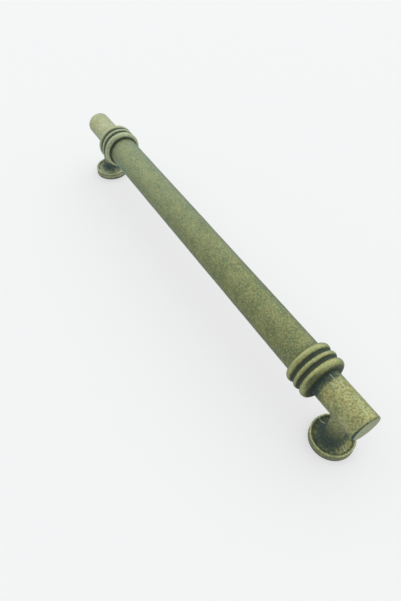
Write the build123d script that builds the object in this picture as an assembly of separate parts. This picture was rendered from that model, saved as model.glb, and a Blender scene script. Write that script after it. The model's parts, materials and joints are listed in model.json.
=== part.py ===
from build123d import *
import os
from math import asin, cos, degrees, radians, tan

# Cabinet pull in cast antique brass, all sizes in millimetres.
# The origin lies on the door face, midway between the two screw holes.
# X runs along the bar, Z stands away from the door, Y runs across the bar.

# Mounting
hole_spacing = 192.0
axis_height = 25.6

# Grip
grip_diameter = 14.3

# Collars, each two outer beads and a narrower middle bead, oval in section
collar_seat = 0.55
outer_bead_half_width = 1.75
outer_bead_rise = 1.7
middle_bead_half_width = 1.25
middle_bead_rise = 1.15
middle_bead_drop = 0.05
groove_depth = 0.85
groove_width = 0.85

# Arms, from each collar to the cut end beyond the foot
arm_diameter = 11.8
collar_to_hole = 11.2
hole_to_end = 9.3
end_edge_bevel = 0.35

# Posts and feet
post_diameter = 7.0
post_blend_radius = 2.6
foot_diameter = 17.3
foot_side_height = 3.0
rim_width = 1.3
rim_round_width = 0.8
rim_rise = 0.7
rim_inner_rise = 0.2
rim_step = 0.25
cavetto_height = 6.0
foot_edge_bevel = 0.2

# Tapped screw holes
tapping_diameter = 3.3
thread_depth = 12.0
countersink_diameter = 4.6
drill_point_angle = 118.0

# Sizes that follow from those above
half_spacing = hole_spacing / 2
grip_radius = grip_diameter / 2
arm_radius = arm_diameter / 2
post_radius = post_diameter / 2
foot_radius = foot_diameter / 2
tapping_radius = tapping_diameter / 2
outer_bead_centre = grip_radius + collar_seat
collar_crest = outer_bead_centre + outer_bead_rise
middle_bead_centre = collar_crest - middle_bead_drop - middle_bead_rise
groove_radius = collar_crest - groove_depth
outer_bead_angle = degrees(asin((groove_radius - outer_bead_centre) / outer_bead_rise))
middle_bead_angle = degrees(asin((groove_radius - middle_bead_centre) / middle_bead_rise))
outer_bead_width = outer_bead_half_width * (1 + cos(radians(outer_bead_angle)))
middle_bead_width = 2 * middle_bead_half_width * cos(radians(middle_bead_angle))
collar_length = 2 * outer_bead_width + middle_bead_width + 2 * groove_width
collar_outer_x = half_spacing - collar_to_hole
collar_inner_x = collar_outer_x - collar_length
end_x = half_spacing + hole_to_end


def outer_bead(middle, start_angle):
    """Top of an outer bead, which ends at a groove on one side and upright on the other."""
    return EllipticalCenterArc(
        (middle, outer_bead_centre),
        outer_bead_half_width,
        outer_bead_rise,
        start_angle,
        arc_size=180 - outer_bead_angle,
    )


def middle_bead(middle):
    """Top of the middle bead, from groove to groove."""
    return EllipticalCenterArc(
        (middle, middle_bead_centre),
        middle_bead_half_width,
        middle_bead_rise,
        middle_bead_angle,
        arc_size=180 - 2 * middle_bead_angle,
    )


def half_outline():
    """Outline of the bar's right half above its axis, from mid-span to the cut end."""
    first_groove = collar_inner_x + outer_bead_width
    middle = first_groove + groove_width
    second_groove = middle + middle_bead_width
    last = second_groove + groove_width
    return [
        Line((0, 0), (0, grip_radius)),
        Line((0, grip_radius), (collar_inner_x, grip_radius)),
        Line((collar_inner_x, grip_radius), (collar_inner_x, outer_bead_centre)),
        outer_bead(collar_inner_x + outer_bead_half_width, outer_bead_angle),
        Line((first_groove, groove_radius), (middle, groove_radius)),
        middle_bead(middle + middle_bead_width / 2),
        Line((second_groove, groove_radius), (last, groove_radius)),
        outer_bead(collar_outer_x - outer_bead_half_width, 0),
        Line((collar_outer_x, outer_bead_centre), (collar_outer_x, arm_radius)),
        Line((collar_outer_x, arm_radius), (end_x, arm_radius)),
        Line((end_x, arm_radius), (end_x, 0)),
        Line((end_x, 0), (0, 0)),
    ]


def bar():
    """Grip, collars and arms: one round form turned about the bar's axis."""
    half = revolve(Plane.XZ * make_face(half_outline()), Axis.X)
    whole = half + mirror(half, about=Plane.YZ)
    circles = whole.edges().filter_by(GeomType.CIRCLE).group_by(Axis.X)
    whole = chamfer(circles[0] + circles[-1], end_edge_bevel)
    return Pos(0, 0, axis_height) * whole


def foot_and_post():
    """Plain-sided foot with a rounded rim, whose hollow top sweeps up into the post."""
    rim_crown = foot_radius - rim_round_width
    rim_inner = foot_radius - rim_width
    hollow_floor = foot_side_height - rim_step
    outline = [
        Line((0, 0), (foot_radius, 0)),
        Line((foot_radius, 0), (foot_radius, foot_side_height)),
        EllipticalCenterArc((rim_crown, foot_side_height), rim_round_width, rim_rise, arc_size=90),
        Line((rim_crown, foot_side_height + rim_rise), (rim_inner, foot_side_height + rim_inner_rise)),
        Line((rim_inner, foot_side_height + rim_inner_rise), (rim_inner, hollow_floor)),
        EllipticalCenterArc(
            (rim_inner, hollow_floor + cavetto_height),
            rim_inner - post_radius,
            cavetto_height,
            180,
            arc_size=90,
        ),
        Line((post_radius, hollow_floor + cavetto_height), (post_radius, axis_height)),
        Line((post_radius, axis_height), (0, axis_height)),
        Line((0, axis_height), (0, 0)),
    ]
    turned = revolve(Plane.XZ * make_face(outline), Axis.Z)
    base_edge = turned.edges().filter_by(GeomType.CIRCLE).group_by(Axis.Z)[0]
    return chamfer(base_edge, foot_edge_bevel)


def screw_hole():
    """Blind hole at tapping size, with a drill point and a countersunk mouth."""
    sink_depth = (countersink_diameter - tapping_diameter) / 2
    drilled = Pos(0, 0, thread_depth / 2) * Cylinder(tapping_radius, thread_depth)
    point_length = tapping_radius / tan(radians(drill_point_angle / 2))
    point = Pos(0, 0, thread_depth + point_length / 2) * Cone(tapping_radius, 0, point_length)
    mouth = Pos(0, 0, sink_depth / 2) * Cone(countersink_diameter / 2, tapping_radius, sink_depth)
    return drilled + point + mouth


def pull_casting():
    """The whole pull: bar, two posts with feet, blended together and drilled."""
    body = bar()
    for side in (-1, 1):
        body = body + Pos(side * half_spacing, 0, 0) * foot_and_post()
    seams = body.edges().filter_by(
        lambda edge: edge.geom_type not in (GeomType.CIRCLE, GeomType.LINE)
        and edge.center().Z > foot_side_height + cavetto_height
    )
    body = fillet(seams, post_blend_radius)
    for side in (-1, 1):
        body = body - Pos(side * half_spacing, 0, 0) * screw_hole()
    return body


def main():
    """Write the pull as one STEP file."""
    os.makedirs("parts", exist_ok=True)
    casting = pull_casting()
    export_step(casting, "parts/pull_casting.step")
    print("volume", round(casting.volume, 1), "solids", len(casting.solids()))


main()
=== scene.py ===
"""Cabinet pull in cast antique brass: the casting's finished surface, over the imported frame."""
import json
import logging
import math
from dataclasses import dataclass, replace
from enum import Enum

import bpy
import numpy as np
from mathutils import Matrix, Vector


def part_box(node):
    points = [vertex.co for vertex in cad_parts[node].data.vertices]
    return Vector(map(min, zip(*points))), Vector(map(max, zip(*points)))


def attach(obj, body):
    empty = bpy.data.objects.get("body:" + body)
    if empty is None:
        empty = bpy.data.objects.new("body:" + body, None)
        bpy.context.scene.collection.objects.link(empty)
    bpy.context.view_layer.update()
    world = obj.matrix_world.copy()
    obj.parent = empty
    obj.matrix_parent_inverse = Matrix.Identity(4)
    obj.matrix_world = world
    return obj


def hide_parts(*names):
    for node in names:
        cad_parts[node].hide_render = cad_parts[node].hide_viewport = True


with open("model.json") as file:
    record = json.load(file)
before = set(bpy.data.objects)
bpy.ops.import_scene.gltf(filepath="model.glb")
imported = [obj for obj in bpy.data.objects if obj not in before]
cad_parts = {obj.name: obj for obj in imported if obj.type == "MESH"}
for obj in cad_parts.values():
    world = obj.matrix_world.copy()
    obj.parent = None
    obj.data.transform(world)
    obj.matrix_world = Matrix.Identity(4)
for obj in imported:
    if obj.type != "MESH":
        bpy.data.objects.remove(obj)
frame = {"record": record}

LOG = logging.getLogger("cabinet_pull")

Array = np.ndarray
Run = tuple[float, float]
Triple = tuple[float, float, float]
Rgb = Triple
Socket = bpy.types.NodeSocket
Value = Socket | float

MM = 0.001
CASTING_NODE = "pull_casting"
BODY = "root"

# Masks that every mesh carries for its finish, as attributes of its points: patina with painted
# shade, wear with painted light, and the parting line's ridge and flanks.
MASKS = ("patina_and_shade", "wear_and_light", "flash_ridge", "flash_flank")

# Seeds of the noises: the skin's swell and dimples, the hollow's streaks, the parting line.
SWELL_SEED, DIMPLE_SEED, STREAK_SEED, WANDER_SEED, CHIP_SEED = 5, 11, 7, 17, 23

# Numbers that scramble a place into a random value.
PLACE_PRIMES = np.array([73856093, 19349663, 83492791])
SEED_PRIME, MIX_PRIME = 2654435761, 1274126177

# Outlines are sampled this finely, in mm, before they are softened.
FINE_STEP = 0.02
SAME_PLACE = 1e-9
BELL_REACH = 4
ARC_POINTS = 49

OUTWARD = np.array([0.0, 0.0, 1.0])


class Side(Enum):
    """Which end of the pull a piece belongs to, as the sign of its place along X."""

    FAR = -1
    NEAR = 1

    def along(self) -> Array:
        """Unit direction from mid-span to this end."""
        return np.array([float(self.value), 0.0, 0.0])


def smooth_step(low: float, high: float, value: Array) -> Array:
    """Rise from 0 at low to 1 at high, with level ends: 3t^2 - 2t^3."""
    t = np.clip((value - low) / (high - low), 0.0, 1.0)
    return t * t * (3.0 - 2.0 * t)


def between(start: Run, end: Run, value: Array) -> Array:
    """Product of two smooth steps: 1 between the two runs and 0 beyond them."""
    return smooth_step(*start, value) * smooth_step(*end, value)


@dataclass(frozen=True)
class Fade:
    """A share of a mask, such as dirt or painted light, that is nothing at one value and whole at
    another.
    """

    share: float
    none_at: float
    whole_at: float

    def __call__(self, value: Array) -> Array:
        """The share at each value, by a smooth step."""
        return self.share * smooth_step(self.none_at, self.whole_at, value)


@dataclass(frozen=True)
class Bell:
    """A share of a mask, such as dirt or painted shade, that is whole at one value and fades on
    both sides of it.
    """

    share: float
    middle: float
    width: float
    power: int = 2

    def __call__(self, value: Array) -> Array:
        """The share at each value: share exp(-((value - middle) / width)^power)."""
        return self.share * np.exp(-(((value - self.middle) / self.width) ** self.power))


def arc(centre: tuple[float, float], half_width: float, rise: float, turn: Run) -> Array:
    """Points of an oval arc: centre + (half_width cos a, rise sin a) for a between two angles.

    Args:
        centre: Centre of the oval, in mm.
        half_width: Half axis along the first coordinate, in mm.
        rise: Half axis along the second coordinate, in mm.
        turn: First and last angle, in degrees.

    Returns:
        An array of points, one row each.
    """
    angle = np.radians(np.linspace(turn[0], turn[1], ARC_POINTS))
    across, up = half_width * np.cos(angle), rise * np.sin(angle)
    return np.column_stack([centre[0] + across, centre[1] + up])


def resampled(outline: Array, softness: float, coarse: float, turn_step: float) -> Array:
    """Soften an outline's corners and place points along it, closer together where it turns.

    The outline is sampled in fine steps and averaged with a bell curve as wide as softness. The
    number of points up to a place is the length so far over coarse plus the turning so far over
    turn_step, and the points lie at equal steps of that sum.

    Args:
        outline: Corner and arc points in order, in mm.
        softness: Width of the bell curve, in mm.
        coarse: Largest distance between points on a straight run, in mm.
        turn_step: Largest turn between neighbouring points, in radians.

    Returns:
        The new points, with the two ends kept.
    """
    length = np.concatenate([[0.0], np.cumsum(np.hypot(*np.diff(outline, axis=0).T))])
    kept = np.concatenate([[True], np.diff(length) > SAME_PLACE])
    fine = np.arange(0.0, length[-1], FINE_STEP)
    dense = np.column_stack([np.interp(fine, length[kept], outline[kept, i]) for i in (0, 1)])
    reach = int(BELL_REACH * softness / FINE_STEP)
    bell = np.exp(-0.5 * (np.arange(-reach, reach + 1) * FINE_STEP / softness) ** 2)
    padded = np.pad(dense, ((reach, reach), (0, 0)), mode="reflect", reflect_type="odd")
    soft = np.column_stack([np.convolve(padded[:, i], bell / bell.sum(), "valid") for i in (0, 1)])
    soft[0], soft[-1] = outline[0], outline[-1]
    step = np.diff(soft, axis=0)
    heading = np.unwrap(np.arctan2(step[:, 1], step[:, 0]))
    turning = np.abs(np.diff(heading, append=heading[-1]))
    weight = np.cumsum(np.hypot(*step.T) / coarse + turning / turn_step)
    weight = np.concatenate([[0.0], weight])
    places = np.linspace(0.0, weight[-1], int(math.ceil(weight[-1])) + 1)
    return np.column_stack([np.interp(places, weight, soft[:, i]) for i in (0, 1)])


def lattice_value(points: Array, seed: int) -> Array:
    """Smooth noise between -1 and 1: random values at whole places, mixed by smooth steps between.

    Args:
        points: Places, one row each, in cells of the lattice.
        seed: Picks the random values.

    Returns:
        One value for each place.
    """
    cell = np.floor(points).astype(np.int64)
    t = points - cell
    t = t * t * (3.0 - 2.0 * t)
    total = np.zeros(len(points))
    for corner in np.ndindex(2, 2, 2):
        at = cell + np.array(corner)
        mixed = (at @ PLACE_PRIMES) ^ (seed * SEED_PRIME)
        mixed = (mixed ^ (mixed >> 13)) * MIX_PRIME & 0xFFFFFFFF
        value = ((mixed ^ (mixed >> 16)) & 0xFFFF) / 32767.5 - 1.0
        share = np.where(np.array(corner) == 1, t, 1.0 - t).prod(axis=1)
        total += share * value
    return total


@dataclass(frozen=True)
class PullSizes:
    """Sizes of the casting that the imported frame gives, in mm."""

    half_spacing: float
    axis_height: float
    end_x: float
    crest_radius: float

    @classmethod
    def from_frame(cls) -> "PullSizes":
        """Read the hole spacing from the mounts and the rest from the casting's box.

        Returns:
            The sizes.
        """
        _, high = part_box(CASTING_NODE)
        pattern = next(m for m in frame["record"]["mounts"] if m["name"] == "screw_holes")
        crest = high.y / MM
        return cls(pattern["dims"]["spacing_x_mm"] / 2, high.z / MM - crest, high.x / MM, crest)

    def axis_point(self) -> Array:
        """The middle of the bar's axis."""
        return np.array([0.0, 0.0, self.axis_height])


@dataclass(frozen=True)
class PartingLine:
    """Flash left where the mould halves met, in the plane through the bar's axis and both posts.

    It shows on top of the near arm beside its collar, and down the hollow and rim of each foot.
    Each run is a stretch over which the line comes or goes: of the noise for its chips, and
    otherwise in mm.
    """

    sizes: PullSizes
    height: float = 0.14
    collar_x: float = 84.8
    ridge_sharpness: float = 18.0
    flank_sharpness: float = 22.0
    flank_distance: float = 0.5
    wander: float = 0.1
    wander_scale: float = 0.45
    chip_scale: float = 1.1
    chip_run: Run = (-0.6, 0.0)
    arm_start: Run = (0.3, 0.9)
    arm_end: Run = (5.2, 3.4)
    arm_top: Run = (3.0, 4.5)
    foot_inside: Run = (4.2, 5.4)
    foot_outside: Run = (8.62, 8.2)
    foot_above: Run = (6.5, 5.5)
    foot_below: Run = (1.0, 2.0)

    def masks(self, points: Array) -> tuple[Array, Array]:
        """Work out where the ridge of flash stands and where painted shade lines its two flanks.

        The ridge is a bell curve exp(-s d^2) of the distance d from the parting plane, which
        wanders a little, and each flank is one round its own distance. Both fade out beyond the
        places where the line shows, and noise chips them.

        Args:
            points: Places on the casting, in mm, one row each.

        Returns:
            The share of the ridge and that of its flanks at each place, between 0 and 1.
        """
        x, y, z = points.T
        off = y + self.wander * lattice_value(points * self.wander_scale, WANDER_SEED)
        on_arm = between(self.arm_start, self.arm_end, x - self.collar_x)
        on_arm = on_arm * smooth_step(*self.arm_top, z - self.sizes.axis_height)
        reach = np.abs(np.abs(x) - self.sizes.half_spacing)
        on_foot = between(self.foot_inside, self.foot_outside, reach)
        on_foot = on_foot * between(self.foot_above, self.foot_below, z)
        chips = smooth_step(*self.chip_run, lattice_value(points * self.chip_scale, CHIP_SEED))
        where = np.maximum(on_arm, on_foot) * chips
        # The flanks take painted shade beside the ridge.
        flank = np.exp(-self.flank_sharpness * (np.abs(off) - self.flank_distance) ** 2)
        return np.exp(-self.ridge_sharpness * off**2) * where, flank * where


@dataclass(frozen=True)
class CastSkin:
    """Slow unevenness that casting and hand finishing leave, and the parting line."""

    line: PartingLine
    swell_size: float = 6.0
    swell_height: float = 0.06
    dimple_size: float = 1.6
    dimple_height: float = 0.018

    def height(self, points: Array) -> Array:
        """Height of a broad swell and smaller dimples, both at or below the true form, in mm.

        Args:
            points: Places on the true form, in mm, one row each.

        Returns:
            The height for each place.
        """
        swell = lattice_value(points / self.swell_size, SWELL_SEED)
        dimple = lattice_value(points / self.dimple_size, DIMPLE_SEED)
        return self.swell_height * (swell - 1.0) * 0.5 + self.dimple_height * (dimple - 1.0)


def signed_volume(points: Array, quads: Array, fans: Array) -> float:
    """Volume inside a closed grid, negative where its faces point inwards.

    Args:
        points: All points.
        quads: Corner numbers of four-sided faces.
        fans: Corner numbers of three-sided faces.

    Returns:
        The sum of the tetrahedra between each face and the origin.
    """
    halves = np.vstack([quads[:, [0, 1, 2]], quads[:, [0, 2, 3]], fans])
    a, b, c = (points[halves[:, i]] for i in range(3))
    return float(np.einsum("ij,ij->i", a, np.cross(b, c)).sum() / 6.0)


@dataclass
class Surface:
    """A closed grid: rows of rings between two poles, with masks by ring or by ring and column.

    patina_and_shade says how dark the metal is, from patina and painted shade; wear_and_light says
    how rubbed it is and where painted light makes it paler; cast says how uneven its skin is.
    """

    rings: Array
    start_pole: Array
    end_pole: Array
    patina_and_shade: Array
    wear_and_light: Array
    cast: Array

    def points(self) -> Array:
        """All points, the two poles first and last, in mm."""
        return np.vstack([self.start_pole, self.rings.reshape(-1, 3), self.end_pole])

    def quads(self) -> Array:
        """Join neighbouring rings with four-sided faces.

        Returns:
            Corner numbers, one row for each face.
        """
        rows, columns = self.rings.shape[:2]
        row, column = np.meshgrid(np.arange(rows - 1), np.arange(columns), indexing="ij")
        beside = (column + 1) % columns
        corners = [row * columns + column, row * columns + beside]
        corners += [(row + 1) * columns + beside, (row + 1) * columns + column]
        return np.stack(corners, axis=-1).reshape(-1, 4) + 1

    def fans(self) -> Array:
        """Close both poles with three-sided faces.

        Returns:
            Corner numbers, one row for each face.
        """
        rows, columns = self.rings.shape[:2]
        column = np.arange(columns)
        beside = (column + 1) % columns
        first = np.column_stack([beside + 1, column + 1, np.zeros(columns, dtype=int)])
        base = 1 + (rows - 1) * columns
        pole = np.full(columns, rows * columns + 1)
        last = np.column_stack([base + column, base + beside, pole])
        return np.vstack([first, last])

    def outward_faces(self) -> tuple[Array, Array]:
        """Turn the faces round where they would point inwards.

        Returns:
            Corner numbers of the four-sided faces and of the three-sided ones.
        """
        quads, fans = self.quads(), self.fans()
        if signed_volume(self.points(), quads, fans) < 0:
            quads, fans = quads[:, ::-1], fans[:, ::-1]
        return quads, fans

    def masks(self) -> Array:
        """Spread the masks over all points, each pole taking the mean of the ring beside it.

        Returns:
            Three rows: patina_and_shade, wear_and_light and cast of every point.
        """
        shape = self.rings.shape[:2]
        grids = [np.broadcast_to(mask, shape) for mask in (self.patina_and_shade, self.wear_and_light, self.cast)]
        first, last = ([grid[row].mean() for grid in grids] for row in (0, -1))
        return np.column_stack([first, np.stack(grids).reshape(len(grids), -1), last])


def ring_angles(columns: int, crowding: float = 0.0) -> Array:
    """Angles t - c/2 sin 2t for even t, which lie closer together near 0 and a half turn."""
    even = np.linspace(0.0, 2.0 * np.pi, columns, endpoint=False)
    return even - 0.5 * crowding * np.sin(2.0 * even)


def turned(profile: Array, axis_point: Array, along: Array, across: Array, angle: Array) -> Array:
    """Rings of a surface of revolution: centre + a along + r (across cos v + side sin v).

    Args:
        profile: Rows of distance along the axis and radius, in mm.
        axis_point: A point on the axis, in mm.
        along: Unit direction of the axis.
        across: Unit direction where the angle is zero.
        angle: Angles of the points round each ring, in radians.

    Returns:
        An array of rows by columns by three.
    """
    side = np.cross(along, across)
    spoke = across[None, :] * np.cos(angle)[:, None] + side[None, :] * np.sin(angle)[:, None]
    centre = axis_point + profile[:, :1] * along
    return centre[:, None, :] + profile[:, 1, None, None] * spoke[None, :, :]


def linked(name: str, data: bpy.types.ID) -> bpy.types.Object:
    """Make an object of a mesh, camera or light and link it into the scene.

    Args:
        name: Name of the object.
        data: What it shows.

    Returns:
        The object, at the origin.
    """
    thing = bpy.data.objects.new(name, data)
    bpy.context.scene.collection.objects.link(thing)
    return thing


def make_piece(name: str, surfaces: list[Surface], skin: CastSkin) -> bpy.types.Object:
    """Build one object from closed grids and give it the cast skin's unevenness.

    Every point moves along its normal by the skin's height times the grid's cast mask, and by
    the height of the flash on the parting line.

    Args:
        name: Name of the object and its mesh.
        surfaces: Closed grids, which may overlap inside the metal.
        skin: Unevenness to add.

    Returns:
        The linked object, at the origin, in metres.
    """
    faces, offset = [], 0
    for surface in surfaces:
        for corners in surface.outward_faces():
            faces += (corners + offset).tolist()
        offset += len(surface.points())
    place = np.vstack([surface.points() for surface in surfaces])
    patina_and_shade, wear_and_light, cast = np.hstack([surface.masks() for surface in surfaces])
    mesh = bpy.data.meshes.new(name)
    mesh.from_pydata((place * MM).tolist(), [], faces)
    normal = np.empty(len(place) * 3, dtype=np.float32)
    mesh.vertex_normals.foreach_get("vector", normal)
    ridge, flank = skin.line.masks(place)
    lift = skin.height(place) * cast + skin.line.height * ridge
    moved = place + normal.reshape(-1, 3) * lift[:, None]
    mesh.vertices.foreach_set("co", (moved * MM).astype(np.float32).ravel())
    for mask, values in zip(MASKS, (patina_and_shade, wear_and_light, ridge, flank)):
        attribute = mesh.attributes.new(mask, "FLOAT", "POINT")
        attribute.data.foreach_set("value", values.astype(np.float32))
    mesh.shade_smooth()
    mesh.update()
    piece = linked(name, mesh)
    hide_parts(CASTING_NODE)
    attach(piece, BODY)
    LOG.info("%s: %d points, %d faces", name, len(place), len(faces))
    return piece


@dataclass
class Grip:
    """The plain round bar between the collars."""

    sizes: PullSizes
    radius: float = 7.15
    half_length: float = 74.2
    hidden_length: float = 1.5
    collar_dirt: float = 0.85
    far_dirt_width: float = 2.2
    near_dirt_width: float = 0.5
    # Painted light: the metal is painted paler towards the far end, as if lit more brightly there.
    far_end_light: Fade = Fade(0.9, 60.0, -75.0)
    columns: int = 144
    coarse: float = 0.9

    def build(self, skin: CastSkin) -> bpy.types.Object:
        """Build the grip, whose ends run on inside the collars.

        Args:
            skin: Unevenness to add.

        Returns:
            The grip, with dirt beside both collars and painted light that makes the metal paler
            towards the far end.
        """
        reach = self.half_length + self.hidden_length
        count = int(2 * reach / self.coarse)
        x = np.linspace(-reach, reach, count)
        profile = np.column_stack([x, np.full(count, self.radius)])
        axis, along = self.sizes.axis_point(), Side.NEAR.along()
        rings = turned(profile, axis, along, OUTWARD, ring_angles(self.columns))
        from_collar = np.maximum(self.half_length - np.abs(x), 0.0)
        dirt_width = np.where(x < 0.0, self.far_dirt_width, self.near_dirt_width)
        patina_and_shade = self.collar_dirt * smooth_step(1.0, 0.0, from_collar / dirt_width)[:, None]
        poles = axis - along * reach, axis + along * reach
        surface = Surface(rings, *poles, patina_and_shade, self.far_end_light(x)[:, None], np.ones((count, 1)))
        return make_piece("grip", [surface], skin)


@dataclass
class Collar:
    """One collar of three beads with two grooves, closed by upright walls on both sides.

    Depths are in mm below the crest of the beads, and all dirt and painted shade is a share between
    0 and 1.
    """

    sizes: PullSizes
    side: Side
    inner_x: float = 74.2
    outer_x: float = 84.8
    wall_foot: float = 4.0
    seat_radius: float = 7.7
    groove_radius: float = 8.55
    outer_half_width: float = 1.75
    outer_rise: float = 1.7
    middle_half_width: float = 1.25
    middle_rise: float = 1.15
    middle_drop: float = 0.05
    softness: float = 0.07
    coarse: float = 0.5
    turn_step: float = 0.12
    columns: int = 160

    # Patina in the grooves with painted shade down the bead flanks, by depth, and dirt on bead
    # flanks that the brush missed, by place.
    flank_shade: Fade = Fade(0.36, 0.0, 0.32)
    floor_dirt: float = 0.64
    floor_start: float = 0.3
    floor_margin: float = 0.05
    middle_dirt: Fade = Fade(0.12, 0.0, 0.3)
    middle_margin: float = 1.6
    unbrushed: float = 0.0
    past_inner: Run = (-0.2, 0.8)
    past_inner_end: float = -1.2
    past_middle: Run = (-0.1, 0.6)
    past_middle_end: float = -1.7

    # Patina on the walls, with painted shade on the arm-side wall and in its corner with the arm:
    # the depth where it starts and the radius where it is whole.
    arm_wall_patina_and_shade: float = 0.6
    arm_wall_run: Run = (0.2, 7.8)
    arm_corner_patina_and_shade: Fade = Fade(0.4, 7.4, 6.2)
    grip_wall_run: Run = (0.9, 7.5)

    # Painted shade on the underside by height as a share of the crest's radius, painted shade on
    # the outer bead's -Y side by the turn from the top in radians, and wear by depth.
    under_shade: float = 0.0
    under_run: Run = (0.75, 0.1)
    side_shade: float = 0.0
    side_shade_start: Run = (-0.1, 0.8)
    side_shade_turn: Bell = Bell(1.0, 0.85, 0.6)
    wear_run: Run = (0.42, 0.05)

    def bead_places(self) -> Triple:
        """Places of the inner, middle and outer bead's crest along the axis, in mm."""
        first, last = self.inner_x + self.outer_half_width, self.outer_x - self.outer_half_width
        return first, (first + last) / 2, last

    def outline(self) -> Array:
        """Draw the collar from the grip side's wall over the beads to the arm side's wall.

        Returns:
            Points of distance along the axis and radius, in mm.
        """
        low = math.degrees(math.asin((self.groove_radius - self.seat_radius) / self.outer_rise))
        first, middle, last = self.bead_places()
        centre_r = self.seat_radius + self.outer_rise - self.middle_drop - self.middle_rise
        tilt = math.degrees(math.asin((self.groove_radius - centre_r) / self.middle_rise))
        outer, inner = (self.outer_half_width, self.outer_rise), self.middle_half_width
        return np.vstack([
            [[self.inner_x, self.wall_foot], [self.inner_x, self.seat_radius]],
            arc((first, self.seat_radius), *outer, (180.0, low)),
            arc((middle, centre_r), inner, self.middle_rise, (180.0 - tilt, tilt)),
            arc((last, self.seat_radius), *outer, (180.0 - low, 0.0)),
            [[self.outer_x, self.seat_radius], [self.outer_x, self.wall_foot]],
        ])

    def groove_patina_and_shade(self, x: Array, radius: Array) -> Array:
        """Patina and painted shade of the grooves, which rise in two smooth steps with the depth.

        The middle bead takes a little more, and a missed flank starts at the top of its bead.

        Args:
            x: Distance of each ring along the axis, in mm.
            radius: Radius of each ring, in mm.

        Returns:
            The patina and painted shade of each ring.
        """
        first, centre, last = self.bead_places()
        crest = self.sizes.crest_radius
        depth = crest - radius
        floor = crest - self.groove_radius - self.floor_margin
        on_floor = self.floor_dirt * smooth_step(self.floor_start, floor, depth)
        # Painted shade down the bead flanks below the crest, then patina on the groove floor.
        groove = self.flank_shade(depth) + on_floor
        middle = (x > first + self.middle_margin) & (x < last - self.middle_margin)
        patina_and_shade = ((x > first) & (x < last)) * groove + middle * self.middle_dirt(depth)
        inner_flank = smooth_step(*self.past_inner, x - first) * (x < centre + self.past_inner_end)
        middle_flank = smooth_step(*self.past_middle, x - centre)
        middle_flank = middle_flank * (x < last + self.past_middle_end)
        return np.maximum(patina_and_shade, self.unbrushed * (inner_flank + middle_flank))

    def wall_patina_and_shade(self, x: Array, radius: Array) -> Array:
        """Patina of the two walls, which rises from the beads towards the bar, with painted shade
        on the arm-side wall and its corner.

        Args:
            x: Distance of each ring along the axis, in mm.
            radius: Radius of each ring, in mm.

        Returns:
            The patina and painted shade of each ring.
        """
        first, _, last = self.bead_places()
        by_arm, by_grip = (
            smooth_step(self.sizes.crest_radius - start, whole, radius)
            for start, whole in (self.arm_wall_run, self.grip_wall_run)
        )
        # Patina and painted shade darken the arm-side wall and its corner.
        arm_wall = self.arm_wall_patina_and_shade * by_arm + self.arm_corner_patina_and_shade(radius)
        return (x > last) * arm_wall + (x < first) * by_grip

    def build(self, skin: CastSkin) -> bpy.types.Object:
        """Build the collar at its end of the grip.

        Args:
            skin: Unevenness to add.

        Returns:
            The collar.
        """
        profile = resampled(self.outline(), self.softness, self.coarse, self.turn_step)
        x, r = profile.T
        axis, along, crest = self.sizes.axis_point(), self.side.along(), self.sizes.crest_radius
        rings = turned(profile, axis, along, OUTWARD, ring_angles(self.columns))
        y, above = rings[..., 1], rings[..., 2] - self.sizes.axis_height
        # Painted shade on the underside.
        under = self.under_shade * smooth_step(*self.under_run, above / crest)
        dirt_and_painted_light = (self.groove_patina_and_shade(x, r) + self.wall_patina_and_shade(x, r))[:, None] + under
        # Painted shade on the -Y side of the outer bead.
        side_shade = self.side_shade * smooth_step(*self.side_shade_start, x - self.bead_places()[2])[:, None]
        side_shade = side_shade * self.side_shade_turn(np.arctan2(-y, above))
        patina_and_shade = np.maximum(np.clip(dirt_and_painted_light, 0.0, 1.0), side_shade)
        wear_and_light = smooth_step(*self.wear_run, crest - r)[:, None]
        poles = axis + along * x[0], axis + along * x[-1]
        surface = Surface(rings, *poles, patina_and_shade, wear_and_light, np.ones((len(x), 1)))
        return make_piece(f"collar_{self.side.name.lower()}", [surface], skin)


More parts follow.
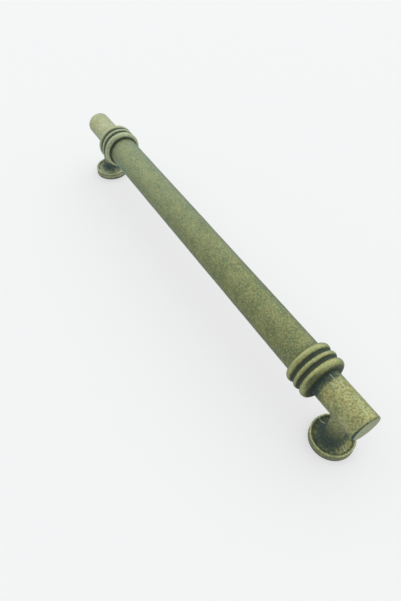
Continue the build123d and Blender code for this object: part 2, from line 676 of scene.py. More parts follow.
@dataclass(frozen=True)
class EndDirtAndPaintedLight:
    """How dirt and painted light lie on an arm, its post and its foot, as shares between 0 and 1.

    Runs, fades and bells are in mm: on the arm from the collar or past the cut end, on the foot
    above the door or outwards from the rim's inner edge. Those round the arm are in radii.
    """

    rim: float
    # Painted shade on the arm's underside and on the post beneath the arm.
    under: float = 0.0
    under_arm: Run = (0.65, 0.05)
    under_post: Run = (5.0, 9.0)

    # Band beside the collar, whose core and edge its width stretches; a dark line round the cut
    # end, darker on the -Y side; and a painted reflection that makes the cut face paler.
    band_width: float = 1.0
    band_core: Fade = Fade(0.3, 2.2, 0.3)
    band_edge: Fade = Fade(0.42, 3.3, 2.2)
    band_haze: Fade = Fade(0.22, 6.5, 2.0)
    band_spared: Fade = Fade(0.3, 0.0, 0.35)
    cut_line: Bell = Bell(1.0, -0.36, 0.34, 4)
    cut_line_darkness: float = 0.55
    cut_line_turn: float = 0.3
    face_run: Run = (-0.05, 0.0)
    face_painted_reflection: float = 0.8

    # Hollow of the foot and the post above it, and how bare they are on the rubbed side.
    deepest: float = 0.95
    dark_width: float = 2.7
    clean_margin: float = 0.2
    climb_slow: Fade = Fade(0.55, 17.0, 5.0)
    climb_fast: Fade = Fade(0.45, 9.0, 5.0)
    rubbed_side: float = 0.0
    rubbed_angle: float = 0.25
    rubbed_spread: float = 0.75
    rubbed_rim: float = 0.72
    rubbed_margin: float = 0.9
    rubbed_post: float = 0.3

    # Side and rim of the foot, the side darker towards the bottom, and radial streaks beside the
    # rim.
    side: float = 0.34
    side_back: Fade = Fade(0.36, 1.8, 0.0)
    side_line: Bell = Bell(0.2, 2.75, 0.4)
    side_start: float = 1.0
    side_margin: float = 0.2
    rim_line: Bell = Bell(0.5, 0.62, 0.17)
    step: float = 0.55
    step_outside: Run = (0.5, 0.1)
    step_inside: Run = (-0.9, -0.1)
    top_above: float = 1.0
    top_margin: float = 0.3
    streak_scale: float = 12.0
    streak_run: Run = (-3.2, -0.6)
    streak_depth: float = 0.35
    rim_wear: Run = (0.3, 0.02)
    hole: float = 0.3
    hole_wear: float = 0.5

    def on_arm(self, from_collar: Array, past_end: Array, across: Array, above: Array) -> Array:
        """Patina of the arm, with painted shade: the band beside the collar, the dark line round
        the cut and painted shade on the underside.

        Args:
            from_collar: Distance of each ring from the collar, in mm.
            past_end: Distance of each ring past the cut end, in mm.
            across: Place across the bar as a share of the radius, by ring and column.
            above: Height above the axis as a share of the radius, by ring and column.

        Returns:
            The patina and painted shade, by ring and column.
        """
        arm = 1.0 - smooth_step(*self.face_run, past_end)
        cut = (self.cut_line_darkness - self.cut_line_turn * across) * self.cut_line(past_end) * arm
        into_band = from_collar / self.band_width
        band = self.band_core(into_band) + self.band_edge(into_band)
        band = band * (1.0 - self.band_spared(across)) + self.band_haze(from_collar)
        # Painted shade on the underside of the arm.
        under = self.under * smooth_step(*self.under_arm, above) * arm
        return np.clip(band + cut + under, 0.0, 1.0)

    def rubbed(self, angle: Array) -> Array:
        """Say how rubbed the foot is in each direction: a bell curve about its bare side.

        Args:
            angle: Directions from the post, in radians.

        Returns:
            A share for each direction.
        """
        off = angle - self.rubbed_angle
        off = np.arctan2(np.sin(off), np.cos(off))
        return self.rubbed_side * np.exp(-((off / self.rubbed_spread) ** 2))

    def in_hollow(self, height: Array, from_rim: Array, angle: Array) -> Array:
        """Patina of the foot's hollow and of the post above it.

        Across the hollow it rises from the rim inwards, sooner on the bare side. Up the post it
        falls in two smooth steps, and painted shade under the arm covers what it leaves bare.

        Args:
            height: Height of each ring, in mm.
            from_rim: Distance of each ring outwards from the rim's inner edge, in mm.
            angle: Angle of each column, in radians.

        Returns:
            The patina, with painted shade under the arm, by ring and column.
        """
        bare = self.rubbed(angle)[None, :]
        z, out = height[:, None], from_rim[:, None]
        rim = self.rim * (1.0 - self.rubbed_rim * bare)
        dark_from = -self.clean_margin - self.rubbed_margin * bare
        dark = smooth_step(dark_from, dark_from - self.dark_width, out)
        across = (rim + (self.deepest - rim) * dark) * (1.0 - self.rubbed_post * bare)
        climb = self.climb_slow(z) + self.climb_fast(z)
        # Painted shade on the post under the arm.
        under = self.under * smooth_step(*self.under_post, z)
        return 1.0 - (1.0 - across * climb) * (1.0 - under)

    def on_foot(self, height: Array, from_rim: Array, angle: Array, side_height: float) -> Array:
        """Patina of the foot's rim and hollow, with radial streaks, and darkening of its side that
        grows towards the bottom.

        Args:
            height: Height of each ring, in mm.
            from_rim: Distance of each ring outwards from the rim's inner edge, in mm.
            angle: Angle of each column, in radians.
            side_height: Height of the foot's plain side, in mm.

        Returns:
            The patina, with painted shade under the arm, by ring and column.
        """
        step = between(self.step_outside, self.step_inside, from_rim)
        side = (from_rim > self.side_start) * (height < side_height + self.side_margin)
        side = side * (self.side + self.side_back(height) + self.side_line(height))
        side = side + (height > side_height) * self.rim_line(from_rim)
        top = (height > self.top_above) & (from_rim < self.top_margin)
        hollow = self.in_hollow(height, from_rim, angle)
        bowl = np.maximum(self.step * step[:, None], hollow)
        patina_and_shade = np.clip(top[:, None] * bowl + side[:, None], 0.0, 1.0)
        circle = np.column_stack([np.cos(angle), np.sin(angle), 0.0 * angle])
        streaks = 0.5 + 0.5 * lattice_value(self.streak_scale * circle, STREAK_SEED)[None, :]
        by_rim = (top * smooth_step(*self.streak_run, from_rim))[:, None]
        depth = self.streak_depth * (1.0 + self.rubbed(angle)[None, :])
        return patina_and_shade * (1.0 - depth * by_rim * streaks)


@dataclass
class PullEnd:
    """One plain arm with its post, its hollow-topped foot and the tapped hole in the foot."""

    sizes: PullSizes
    side: Side
    dirt_and_painted_light: EndDirtAndPaintedLight
    collar_x: float = 84.8
    hidden_length: float = 1.5
    arm_radius: float = 5.9
    end_bevel: float = 0.35
    face_middle: float = 0.3
    post_radius: float = 3.5
    blend_radius: float = 2.6
    foot_radius: float = 8.65
    foot_side: float = 3.0
    foot_bevel: float = 0.2
    flat_back: Run = (0.2, 1.2)
    rim_width: float = 1.3
    rim_round: float = 0.8
    rim_rise: float = 0.7
    rim_inner_rise: float = 0.2
    rim_step: float = 0.25
    cavetto_height: float = 6.0
    hole_radius: float = 1.65
    hole_depth: float = 12.0
    point_length: float = 0.99
    point_open: float = 0.1
    mouth_radius: float = 2.3
    thread_depth: float = 0.32
    thread_pitch: float = 0.7
    thread_start: Run = (-0.2, 0.3)
    thread_end: Run = (0.0, 1.0)

    # Softness of the corners and spacing of the points: mm, mm along and radians of turn.
    arm_grid: Triple = (0.1, 0.35, 0.1)
    foot_grid: Triple = (0.06, 0.3, 0.1)
    hole_grid: Triple = (0.03, 0.1, 0.2)

    # Rows of the post and its blend, and where the last ones lie on the way into the arm.
    post_rows: int = 12
    blend_rows: int = 13
    inside_rows: Triple = (0.06, 0.3, 0.7)
    columns: int = 144
    crowding: float = 0.7

    def angles(self) -> Array:
        """Angles round each ring, closer together where the parting line crosses it."""
        return ring_angles(self.columns, self.crowding)

    def arm(self) -> Surface:
        """Build the arm, from just inside the collar to its flat cut end.

        Returns:
            The arm's closed grid.
        """
        end, radius = self.sizes.end_x, self.arm_radius
        outline = np.array([
            [self.collar_x - self.hidden_length, radius],
            [end - self.end_bevel, radius],
            [end, radius - self.end_bevel],
            [end, self.face_middle],
        ])
        profile = resampled(outline, *self.arm_grid)
        x, axis, along = profile[:, 0], self.sizes.axis_point(), self.side.along()
        rings = turned(profile, axis, along, OUTWARD, self.angles())
        across, above = rings[..., 1] / radius, (rings[..., 2] - self.sizes.axis_height) / radius
        past_end = x[:, None] - end
        patina_and_shade = self.dirt_and_painted_light.on_arm(x[:, None] - self.collar_x, past_end, across, above)
        # Painted reflection: the cut face is painted paler.
        wear_and_light = self.dirt_and_painted_light.face_painted_reflection * smooth_step(*self.dirt_and_painted_light.face_run, past_end)
        poles = axis + along * x[0], axis + along * x[-1]
        return Surface(rings, *poles, patina_and_shade, wear_and_light, np.ones((len(x), 1)))

    def foot_outline(self) -> Array:
        """Draw the foot from its flat back to the top of the hollow's sweep into the post.

        Returns:
            Points of height and radius, in mm.
        """
        crown = self.foot_radius - self.rim_round
        inner = self.foot_radius - self.rim_width
        floor = self.foot_side - self.rim_step
        hollow = (inner - self.post_radius, self.cavetto_height)
        rim = arc((crown, self.foot_side), self.rim_round, self.rim_rise, (0.0, 90.0))
        sweep = arc((inner, floor + self.cavetto_height), *hollow, (270.0, 180.0))
        radius_height = np.vstack([
            [[self.mouth_radius, 0.0], [self.foot_radius - self.foot_bevel, 0.0]],
            [[self.foot_radius, self.foot_bevel]],
            rim,
            [[inner, self.foot_side + self.rim_inner_rise]],
            sweep,
        ])
        return radius_height[:, ::-1]

    def hole_outline(self) -> Array:
        """Draw the hole from near its drill point down to the countersunk mouth.

        Returns:
            Points of height and radius, in mm.
        """
        sink = self.mouth_radius - self.hole_radius
        tip = self.hole_depth + self.point_length * (1.0 - self.point_open)
        return np.array([
            [tip, self.hole_radius * self.point_open],
            [self.hole_depth, self.hole_radius],
            [sink, self.hole_radius],
            [0.0, self.mouth_radius],
        ])

    def thread(self, rings: Array, profile: Array, centre: Array) -> Array:
        """Cut the thread: the wall moves out by a triangle wave of height and angle.

        Args:
            rings: Rings of the plain hole, in mm.
            profile: Rows of height and radius of those rings, in mm.
            centre: Middle of the hole's mouth, in mm.

        Returns:
            The rings of the threaded hole.
        """
        height = profile[:, 0]
        turn = self.side.value * self.angles() / (2.0 * np.pi)
        turns = height[:, None] / self.thread_pitch - turn
        wave = 2.0 * np.abs(turns - np.floor(turns) - 0.5)
        sink = self.mouth_radius - self.hole_radius
        run = smooth_step(*self.thread_start, height - sink)
        run = run * smooth_step(*self.thread_end, self.hole_depth - height)
        offset = rings - centre
        offset[..., 2] = 0.0
        spoke = offset / np.maximum(np.linalg.norm(offset, axis=2, keepdims=True), SAME_PLACE)
        return rings + spoke * (self.thread_depth * wave * run[:, None])[..., None]

    def blend(self, centre: Array, along: Array, across: Array) -> Array:
        """Rings of the fillet between post and arm, as a ball rolled round where they meet.

        The ball of radius b touches the post at its own height and the arm on the line to the
        bar's axis. Its centre stands at post radius + b from the post's axis and arm radius + b
        from the bar's axis, and each ring is a step of the arc between the two touching points.

        Args:
            centre: Foot of the post's axis, in mm.
            along: Unit direction of the post's axis.
            across: Unit direction where the angle is zero.

        Returns:
            The fillet's rings and a few more that close it inside the arm.
        """
        ball, height = self.blend_radius, self.sizes.axis_height
        far = self.arm_radius + ball
        angle = self.angles()
        side = np.cross(along, across)
        spoke = across * np.cos(angle)[:, None] + side * np.sin(angle)[:, None]
        middle = centre + (self.post_radius + ball) * spoke
        middle[:, 2] = height - np.sqrt(far**2 - middle[:, 1] ** 2)
        to_bar = np.column_stack([np.zeros(len(angle)), -middle[:, 1], height - middle[:, 2]]) / far
        opening = np.arccos(np.clip((-spoke * to_bar).sum(axis=1), -1.0, 1.0))[None, :, None]
        t = np.linspace(0.0, 1.0, self.blend_rows)[:, None, None]
        swing = np.sin((1 - t) * opening) * -spoke + np.sin(t * opening) * to_bar
        fillet = middle[None] + ball * swing / np.sin(opening)
        top = centre + self.sizes.axis_point()
        inside = np.array(self.inside_rows)[:, None, None]
        return np.concatenate([fillet, fillet[-1] + (top - fillet[-1]) * inside])

    def foot(self) -> Surface:
        """Build the hole, the foot, the post and the blend into the arm.

        Returns:
            One closed grid of all four.
        """
        centre, angle = self.side.along() * self.sizes.half_spacing, self.angles()
        across = Side.NEAR.along()
        hole = resampled(self.hole_outline(), *self.hole_grid)
        hole_rings = self.thread(turned(hole, centre, OUTWARD, across, angle), hole, centre)
        foot = resampled(self.foot_outline(), *self.foot_grid)[1:]
        foot_rings = turned(foot, centre, OUTWARD, across, angle)
        blend_rings = self.blend(centre, OUTWARD, across)
        t = np.linspace(0, 1, self.post_rows + 2)[1:-1, None, None]
        straight = foot_rings[-1] + (blend_rings[0] - foot_rings[-1]) * t
        rings = np.concatenate([hole_rings, foot_rings, straight, blend_rings])
        height, radius = foot.T
        above = np.concatenate([straight, blend_rings])[:, 0, 2]
        inner = self.foot_radius - self.rim_width
        post_out = np.full(len(above), self.post_radius - inner)
        rows = [
            np.full((len(hole), self.columns), self.dirt_and_painted_light.hole),
            self.dirt_and_painted_light.on_foot(height, radius - inner, angle, self.foot_side),
            self.dirt_and_painted_light.in_hollow(above, post_out, angle),
        ]
        depth = self.foot_side + self.rim_rise - height
        rim_wear = smooth_step(*self.dirt_and_painted_light.rim_wear, depth) * (radius > inner)
        wear_and_light = np.concatenate([np.full(len(hole), self.dirt_and_painted_light.hole_wear), rim_wear, 0.0 * above])
        uneven = smooth_step(*self.flat_back, height)
        cast = np.concatenate([np.zeros(len(hole)), uneven, np.ones(len(above))])
        poles = [centre + OUTWARD * (self.hole_depth + self.point_length)]
        poles += [centre + OUTWARD * self.sizes.axis_height]
        return Surface(rings, *poles, np.concatenate(rows), wear_and_light[:, None], cast[:, None])

    def build(self, skin: CastSkin) -> bpy.types.Object:
        """Build the arm with its foot."""
        return make_piece(f"end_{self.side.name.lower()}", [self.arm(), self.foot()], skin)


@dataclass
class NodeSheet:
    """A node tree that is being filled, with short ways to add the nodes used here."""

    tree: bpy.types.NodeTree

    @classmethod
    def of(cls, owner: bpy.types.Material | bpy.types.World) -> "NodeSheet":
        """The sheet of a material or of the world, with its nodes turned on."""
        owner.use_nodes = True
        return cls(owner.node_tree)

    def find(self, kind: str) -> bpy.types.Node:
        """The tree's own node of a kind."""
        return next(node for node in self.tree.nodes if node.type == kind)

    def fill(self, node: bpy.types.Node, inputs: dict) -> bpy.types.Node:
        """Link sockets into a node's inputs, or set the inputs' own numbers and colours.

        Args:
            node: The node.
            inputs: Sockets, numbers, vectors or colours of three channels, by name or number.

        Returns:
            The node.
        """
        for key, value in inputs.items():
            socket = node.inputs[key]
            if isinstance(value, Socket):
                self.tree.links.new(value, socket)
            elif socket.type == "RGBA":
                socket.default_value = (*value, 1.0)
            else:
                socket.default_value = value
        return node

    def add(self, kind: str, inputs: dict | None = None, **settings: object) -> bpy.types.Node:
        """Add a node.

        Args:
            kind: Type of the node.
            inputs: What its inputs take, by name or number.
            settings: Values of its properties, set before the inputs.

        Returns:
            The node.
        """
        node = self.tree.nodes.new(kind)
        for key, value in settings.items():
            setattr(node, key, value)
        return self.fill(node, inputs or {})

    def math(self, operation: str, *values: Value, clamp: bool = False) -> Socket:
        """Result of one arithmetic step on one to three values, kept between 0 and 1 by clamp."""
        inputs = dict(enumerate(values))
        return self.add("ShaderNodeMath", inputs, operation=operation, use_clamp=clamp).outputs[0]

    def times(self, first: Value, second: Value) -> Socket:
        """Product of two values."""
        return self.math("MULTIPLY", first, second)

    def line(self, value: Value, slope: Value, start: Value) -> Socket:
        """Straight line: start + slope times value."""
        return self.math("MULTIPLY_ADD", value, slope, start)

    def rise(self, value: Value, low: float, high: float, top: float = 1.0) -> Socket:
        """Rise smoothly from 0 at low to top at high, which may be the smaller of the two.

        Args:
            value: Value to place on the rise.
            low: Value where the result is 0.
            high: Value where it is top.
            top: Largest result.

        Returns:
            The result.
        """
        if low > high:
            return self.math("SUBTRACT", top, self.rise(value, high, low, top))
        inputs = {"Value": value, "From Min": low, "From Max": high, "To Max": top}
        node = self.add("ShaderNodeMapRange", inputs, interpolation_type="SMOOTHSTEP")
        return node.outputs["Result"]

    def blend(self, factor: Value, first: object, second: object) -> Socket:
        """Mix two colours, all of the second at a factor of 1."""
        inputs = {0: factor, 6: first, 7: second}
        return self.add("ShaderNodeMix", inputs, data_type="RGBA").outputs[2]

    def noise(self, place: Value, scale: Value, detail: float, roughness: float) -> Socket:
        """Fractal noise around 0.5 at some places."""
        inputs = {"Vector": place, "Scale": scale, "Detail": detail, "Roughness": roughness}
        return self.add("ShaderNodeTexNoise", inputs).outputs[0]


def linear(red: int, green: int, blue: int) -> Rgb:
    """Linear colour of a display colour of 0 to 255: ((c + 0.055) / 1.055)^2.4 for each channel."""
    return tuple(((c / 255.0 + 0.055) / 1.055) ** 2.4 for c in (red, green, blue))


VECTOR, NUMBER = "NodeSocketVector", "NodeSocketFloat"


def new_group(
    name: str, inputs: dict[str, str], outputs: list[str]
) -> tuple[NodeSheet, bpy.types.Node, bpy.types.Node]:
    """Start a shader node group with named sockets.

    Args:
        name: Name of the group.
        inputs: Socket types by name.
        outputs: Names of the numbers that the group gives.

    Returns:
        The group's sheet, its input node and its output node.
    """
    tree = bpy.data.node_groups.new(name, "ShaderNodeTree")
    for way, sockets in (("INPUT", inputs), ("OUTPUT", dict.fromkeys(outputs, NUMBER))):
        for label, kind in sockets.items():
            tree.interface.new_socket(name=label, in_out=way, socket_type=kind)
    return NodeSheet(tree), tree.nodes.new("NodeGroupInput"), tree.nodes.new("NodeGroupOutput")


def cast_mottle_group() -> bpy.types.NodeTree:
    """Build the mottle of a cast and patinated surface: grain, blotches, pits and slow drift.

    Grain, blotches and drift are noises of three sizes, stretched between two of their values.
    Pits are the middles of random cells a little larger than the grain.

    Returns:
        The group, which takes places and scales in mm.
    """
    sheet, given, out = new_group(
        "cast_mottle",
        {"Place": VECTOR, "Grain Scale": NUMBER, "Blotch Scale": NUMBER},
        ["Grain", "Blotch", "Pits", "Warmth", "Coolness"],
    )
    place, grain_scale = given.outputs["Place"], given.outputs["Grain Scale"]
    grain = sheet.noise(place, grain_scale, detail=3.0, roughness=0.62)
    blotch = sheet.noise(place, given.outputs["Blotch Scale"], detail=4.0, roughness=0.55)
    cell = {"Vector": place, "Scale": sheet.times(grain_scale, 0.75), "Randomness": 1.0}
    from_middle = sheet.add("ShaderNodeTexVoronoi", cell).outputs["Distance"]
    shift = {0: place, 1: (31.0, 17.0, 53.0)}
    elsewhere = sheet.add("ShaderNodeVectorMath", shift, operation="ADD").outputs[0]
    drift = sheet.noise(elsewhere, 0.35, detail=3.0, roughness=0.6)
    sheet.fill(out, {
        "Grain": sheet.rise(grain, low=0.3, high=0.7),
        "Blotch": sheet.rise(blotch, low=0.32, high=0.68),
        "Pits": sheet.rise(from_middle, low=0.26, high=0.1),
        "Warmth": sheet.rise(drift, low=0.47, high=0.66),
        "Coolness": sheet.rise(drift, low=0.5, high=0.34),
    })
    return sheet.tree


def grime_and_shade_group() -> bpy.types.NodeTree:
    """Build the patina, with painted shade, that fills hollows: the hollow's mask with a ragged
    edge, thinner in places.

    The edge is moved by noise and grain where the mask h is between 0 and 1, by 4 h (1 - h).

    Returns:
        The group.
    """
    sheet, given, out = new_group(
        "hollow_grime_and_shade",
        {"Place": VECTOR, "Hollow": NUMBER, "Raggedness": NUMBER, "Grain": NUMBER},
        ["Grime"],
    )
    fleck_size, thinnest = 0.12, 0.72
    hollow = given.outputs["Hollow"]
    rag = sheet.noise(given.outputs["Place"], 0.9, detail=4.0, roughness=0.65)
    swing = sheet.times(sheet.math("SUBTRACT", rag, 0.5), given.outputs["Raggedness"])
    fleck = sheet.times(sheet.math("SUBTRACT", given.outputs["Grain"], 0.5), fleck_size)
    between = sheet.times(sheet.times(hollow, sheet.math("SUBTRACT", 1.0, hollow)), 4.0)
    swing = sheet.times(sheet.math("SUBTRACT", swing, fleck), between)
    cover = sheet.line(sheet.rise(rag, low=0.35, high=0.65), 1.0 - thinnest, thinnest)
    ragged = sheet.math("ADD", hollow, swing, clamp=True)
    sheet.fill(out, {"Grime": sheet.times(ragged, cover)})
    return sheet.tree


@dataclass(frozen=True)
class AntiqueBrass:
    """Darkened brass: its tones, the size of its mottle and how strongly each effect shows."""

    name: str
    tone: Rgb
    light_tone: Rgb
    dark_tone: Rgb
    warm_tone: Rgb
    cool_tone: Rgb
    brown_tone: Rgb
    worn_and_lit_tone: Rgb
    grime_and_shade_tone: Rgb
    edge_tint: Rgb
    grain_scale: float
    blotch_scale: float
    grain_depth: float
    mottle: float = 1.0
    raggedness: float = 0.3
    roughness: float = 0.55
    metallic: float = 0.9

    # Shares of the tones in the colour.
    blotch_share: float = 0.6
    warm_share: float = 0.35
    cool_share: float = 0.35
    dark_share: float = 0.7
    light_share: float = 0.9
    pit_share: float = 0.25
    worn_share: float = 0.48
    brown_share: float = 0.9
    flank_share: float = 0.5
    ridge_share: float = 0.7

    # What rubbing, grain and grime change.
    rubbed_warmth: float = 0.3
    rubbed_calm: float = 0.6
    rubbed_flatness: float = 0.4
    worn_gloss: float = 0.08
    grain_gloss: float = 0.1
    grime_roughness: float = 0.25
    grime_dullness: float = 0.6
    grime_filling: float = 0.7
    pit_depth: float = 1.2

    def make(self, mottle: bpy.types.NodeTree, grime_and_shade: bpy.types.NodeTree) -> bpy.types.Material:
        """Build the material from the two shared groups and the four masks of the mesh.

        Args:
            mottle: Group that gives grain, blotches and pits.
            grime_and_shade: Group that gives the patina and painted shade of the hollows.

        Returns:
            The material.
        """
        material = bpy.data.materials.new(self.name)
        sheet = NodeSheet.of(material)
        metres = sheet.add("ShaderNodeTexCoord").outputs["Object"]
        scaling = {0: metres, "Scale": 1.0 / MM}
        place = sheet.add("ShaderNodeVectorMath", scaling, operation="SCALE").outputs[0]
        # The masks: patina with painted shade, wear with painted light on the far grip and the cut
        # faces, the parting line's ridge and its flanks.
        hollow, rubbed, ridge, flank = (
            sheet.add("ShaderNodeAttribute", attribute_name=mask).outputs["Fac"] for mask in MASKS
        )
        scales = {"Grain Scale": self.grain_scale, "Blotch Scale": self.blotch_scale}
        skin = sheet.add("ShaderNodeGroup", {"Place": place, **scales}, node_tree=mottle).outputs
        grain, pits = skin["Grain"], skin["Pits"]
        given = {"Place": place, "Hollow": hollow, "Raggedness": self.raggedness, "Grain": grain}
        filth_and_shade = sheet.add("ShaderNodeGroup", given, node_tree=grime_and_shade).outputs["Grime"]
        # Wear, with painted light on the far grip and a painted reflection on the cut faces, makes
        # the metal paler.
        worn_and_lit = sheet.math("MULTIPLY", rubbed, sheet.rise(grain, low=-0.25, high=0.75), clamp=True)
        warm = sheet.line(rubbed, self.rubbed_warmth, self.warm_share)
        speckle = sheet.line(rubbed, -self.rubbed_calm * self.mottle, self.mottle)
        dark = sheet.rise(grain, low=0.5, high=0.0, top=self.dark_share)
        light = sheet.rise(grain, low=0.5, high=1.0, top=self.light_share)
        layers = [
            (sheet.times(skin["Blotch"], self.blotch_share), self.light_tone),
            (sheet.times(skin["Warmth"], warm), self.warm_tone),
            (sheet.times(skin["Coolness"], self.cool_share), self.cool_tone),
            (sheet.times(dark, speckle), self.dark_tone),
            (sheet.times(light, speckle), self.light_tone),
            (sheet.times(sheet.times(pits, self.pit_share), speckle), self.dark_tone),
            (sheet.times(worn_and_lit, self.worn_share), self.worn_and_lit_tone),
            # Patina, and painted shade under the parts, down the bead flanks and on the collar
            # walls, darken the metal.
            (sheet.rise(filth_and_shade, low=0.0, high=0.6, top=self.brown_share), self.brown_tone),
            (sheet.rise(filth_and_shade, low=0.3, high=0.95), self.grime_and_shade_tone),
            # Painted shade beside the parting line's ridge, and a painted highlight on the ridge
            # itself.
            (sheet.times(flank, self.flank_share), self.grime_and_shade_tone),
            (sheet.times(ridge, self.ridge_share), self.worn_and_lit_tone),
        ]
        colour = self.tone
        for factor, tone in layers:
            colour = sheet.blend(factor, colour, tone)
        rough = sheet.line(grain, -self.grain_gloss, self.roughness)
        rough = sheet.line(filth_and_shade, self.grime_roughness, rough)
        rough = sheet.math("MULTIPLY_ADD", worn_and_lit, -self.worn_gloss, rough, clamp=True)
        relief = sheet.line(pits, -self.pit_depth, grain)
        filled = sheet.line(filth_and_shade, -self.grime_filling * self.grain_depth, self.grain_depth)
        filled = sheet.times(filled, sheet.line(rubbed, -self.rubbed_flatness, 1.0))
        bumps = {"Height": sheet.times(relief, filled), "Strength": 1.0, "Distance": MM}
        sheet.fill(sheet.find("BSDF_PRINCIPLED"), {
            "Base Color": colour,
            "Specular Tint": self.edge_tint,
            "Roughness": rough,
            "Metallic": sheet.line(filth_and_shade, -self.grime_dullness, self.metallic),
            "Normal": sheet.add("ShaderNodeBump", bumps).outputs["Normal"],
        })
        return material


GRIP_BRASS = AntiqueBrass(
    name="antique_brass_grip",
    tone=linear(109, 118, 84),
    light_tone=linear(146, 149, 103),
    dark_tone=linear(101, 109, 77),
    warm_tone=linear(134, 127, 82),
    cool_tone=linear(104, 121, 98),
    brown_tone=linear(86, 88, 60),
    worn_and_lit_tone=linear(151, 162, 132),
    grime_and_shade_tone=linear(50, 62, 58),
    edge_tint=(0.54, 0.64, 0.78),
    grain_scale=1.4,
    blotch_scale=0.16,
    grain_depth=0.014,
)

COLLAR_BRASS = replace(
    GRIP_BRASS,
    name="antique_brass_collar",
    tone=linear(135, 142, 97),
    light_tone=linear(156, 160, 111),
    dark_tone=linear(106, 114, 77),
    warm_tone=linear(152, 142, 84),
    brown_tone=linear(88, 92, 62),
    worn_and_lit_tone=linear(178, 180, 126),
    grime_and_shade_tone=linear(60, 70, 56),
    mottle=0.45,
)

# A paler copy for the far collar: painted light, as if the far end were lit more brightly.
PALE_COLLAR_BRASS = replace(
    COLLAR_BRASS,
    name="antique_brass_pale_collar",
    tone=linear(158, 166, 133),
    light_tone=linear(174, 181, 147),
    dark_tone=linear(132, 140, 106),
    warm_tone=linear(160, 154, 106),
    worn_and_lit_tone=linear(186, 191, 156),
    brown_tone=linear(116, 122, 96),
    grime_and_shade_tone=linear(78, 88, 72),
)

END_BRASS = AntiqueBrass(
    name="antique_brass_end",
    tone=linear(151, 153, 104),
    light_tone=linear(178, 179, 128),
    dark_tone=linear(108, 111, 72),
    warm_tone=linear(168, 148, 92),
    cool_tone=linear(134, 148, 116),
    brown_tone=linear(86, 96, 76),
    worn_and_lit_tone=linear(190, 194, 158),
    grime_and_shade_tone=linear(58, 74, 70),
    edge_tint=(0.52, 0.61, 0.74),
    grain_scale=1.3,
    blotch_scale=0.2,
    grain_depth=0.03,
)

# A paler copy for the far arm and foot: painted light, as if the far end were lit more brightly.
PALE_END_BRASS = replace(
    END_BRASS,
    name="antique_brass_pale_end",
    tone=linear(168, 172, 134),
    light_tone=linear(185, 188, 149),
    dark_tone=linear(140, 145, 111),
    cool_tone=linear(166, 174, 148),
    brown_tone=linear(100, 112, 92),
    grime_and_shade_tone=linear(62, 78, 76),
)


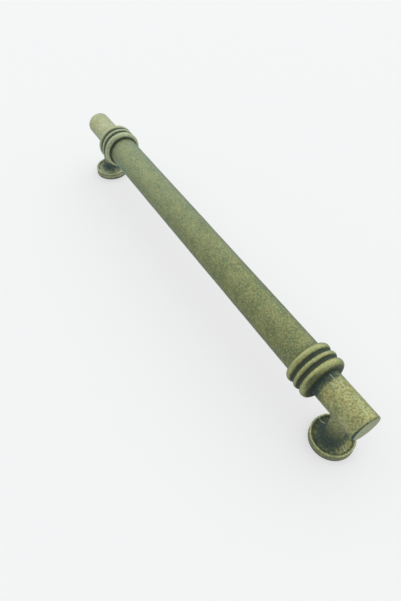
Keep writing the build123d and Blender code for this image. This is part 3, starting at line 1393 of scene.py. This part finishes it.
@dataclass
class Studio:
    """Camera at the photograph's viewing angle, pale floor and soft light."""

    # Camera: its place in metres, its three axes, lens and sensor in mm, and near and far clip.
    eye: Triple = (0.13304, -0.08013, 0.17218)
    right: Triple = (0.52113, 0.85347, 0.00273)
    up: Triple = (-0.66420, 0.40356, 0.62927)
    back: Triple = (0.53596, -0.32974, 0.77719)
    lens: float = 28.951
    sensor: float = 36.0
    clip: Run = (0.005, 20.0)

    # Floor: sizes in metres, its own grey and how much it glows.
    floor_half: float = 3.0
    floor_gap: float = 0.00003
    floor_grey: float = 0.4
    floor_glow: float = 0.475
    floor_roughness: float = 0.95
    floor_gloss: float = 0.1

    # Surroundings: brightness straight up, its slopes along X and Y, and what the camera sees.
    sky_tint: Rgb = (0.97, 0.99, 1.0)
    sky_level: float = 1.05
    sky_slope_x: float = -0.2
    sky_slope_y: float = 0.48
    seen_level: float = 0.92

    # Lamp: the direction it hangs in, how wide it looks in degrees, and its strength.
    lamp_towards: Triple = (-0.85, -0.35, 0.42)
    lamp_width: float = 75.0
    lamp_strength: float = 0.4

    def camera(self) -> None:
        """Place the camera from its three axes."""
        data = bpy.data.cameras.new("view")
        data.lens, data.sensor_width = self.lens, self.sensor
        data.clip_start, data.clip_end = self.clip
        camera = linked("view", data)
        turn = Matrix((self.right, self.up, self.back)).transposed().to_4x4()
        camera.matrix_world = Matrix.Translation(Vector(self.eye)) @ turn
        bpy.context.scene.camera = camera

    def floor(self) -> None:
        """Lay a plain pale sheet under the feet, which is clear where it is seen from below."""
        half, under = self.floor_half, -self.floor_gap
        mesh = bpy.data.meshes.new("floor")
        ends = [(-half, -half), (half, -half), (half, half), (-half, half)]
        mesh.from_pydata([(x, y, under) for x, y in ends], [], [(0, 1, 2, 3)])
        paint = bpy.data.materials.new("pale_floor")
        sheet = NodeSheet.of(paint)
        below = sheet.add("ShaderNodeNewGeometry").outputs["Backfacing"]
        sheet.fill(sheet.find("BSDF_PRINCIPLED"), {
            "Base Color": (self.floor_grey,) * 3,
            "Emission Color": (1.0, 1.0, 1.0),
            "Emission Strength": self.floor_glow,
            "Roughness": self.floor_roughness,
            "Specular IOR Level": self.floor_gloss,
            "Alpha": sheet.math("SUBTRACT", 1.0, below),
        })
        mesh.materials.append(paint)
        linked("floor", mesh)

    def lamp(self) -> None:
        """Hang a wide soft light a long way off, so that it reaches the whole floor alike."""
        data = bpy.data.lights.new("back", "SUN")
        data.angle, data.energy = math.radians(self.lamp_width), self.lamp_strength
        turn = Vector(self.lamp_towards).to_track_quat("Z", "Y")
        linked("back", data).matrix_world = turn.to_matrix().to_4x4()

    def surroundings(self) -> None:
        """Light the pull from pale surroundings, which the camera itself sees as one flat tone.

        They are a little brighter behind the far end and at the photograph's upper right.
        """
        world = bpy.data.worlds.new("studio")
        sheet = NodeSheet.of(world)
        direction = sheet.add("ShaderNodeTexCoord").outputs["Generated"]
        axes = sheet.add("ShaderNodeSeparateXYZ", {"Vector": direction}).outputs
        level = sheet.line(axes["X"], self.sky_slope_x, self.sky_level)
        level = sheet.line(axes["Y"], self.sky_slope_y, level)
        seen = sheet.add("ShaderNodeLightPath").outputs["Is Camera Ray"]
        plain = sheet.times(seen, sheet.math("SUBTRACT", self.seen_level, level))
        strength = sheet.math("ADD", level, plain)
        sheet.fill(sheet.find("BACKGROUND"), {"Color": self.sky_tint, "Strength": strength})
        bpy.context.scene.world = world

    def build(self) -> None:
        """Set up camera, floor, surroundings and lamp, with plain display colours."""
        self.camera()
        self.floor()
        self.surroundings()
        self.lamp()
        bpy.context.scene.view_settings.view_transform = "Standard"


def main() -> None:
    """Build the pull piece by piece, dress it and set up the studio."""
    logging.basicConfig(level=logging.INFO)
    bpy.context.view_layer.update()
    sizes = PullSizes.from_frame()
    LOG.info("sizes %s", sizes)
    skin = CastSkin(PartingLine(sizes))
    groups = cast_mottle_group(), grime_and_shade_group()
    far_dirt_and_light = EndDirtAndPaintedLight(rim=0.4, clean_margin=1.0, band_width=0.6)
    # The near end also carries painted shade on its underside.
    near_dirt_and_light = EndDirtAndPaintedLight(rim=0.72, under=0.3, rubbed_side=0.85)
    dressed = [
        (Grip(sizes), GRIP_BRASS),
        (Collar(sizes, Side.NEAR, under_shade=0.14, side_shade=0.6), COLLAR_BRASS),
        (Collar(sizes, Side.FAR, unbrushed=0.75), PALE_COLLAR_BRASS),
        (PullEnd(sizes, Side.NEAR, near_dirt_and_light), END_BRASS),
        (PullEnd(sizes, Side.FAR, far_dirt_and_light), PALE_END_BRASS),
    ]
    for part, brass in dressed:
        part.build(skin).data.materials.append(brass.make(*groups))
    Studio().build()
    bpy.context.view_layer.update()


if __name__ == "__main__":
    main()
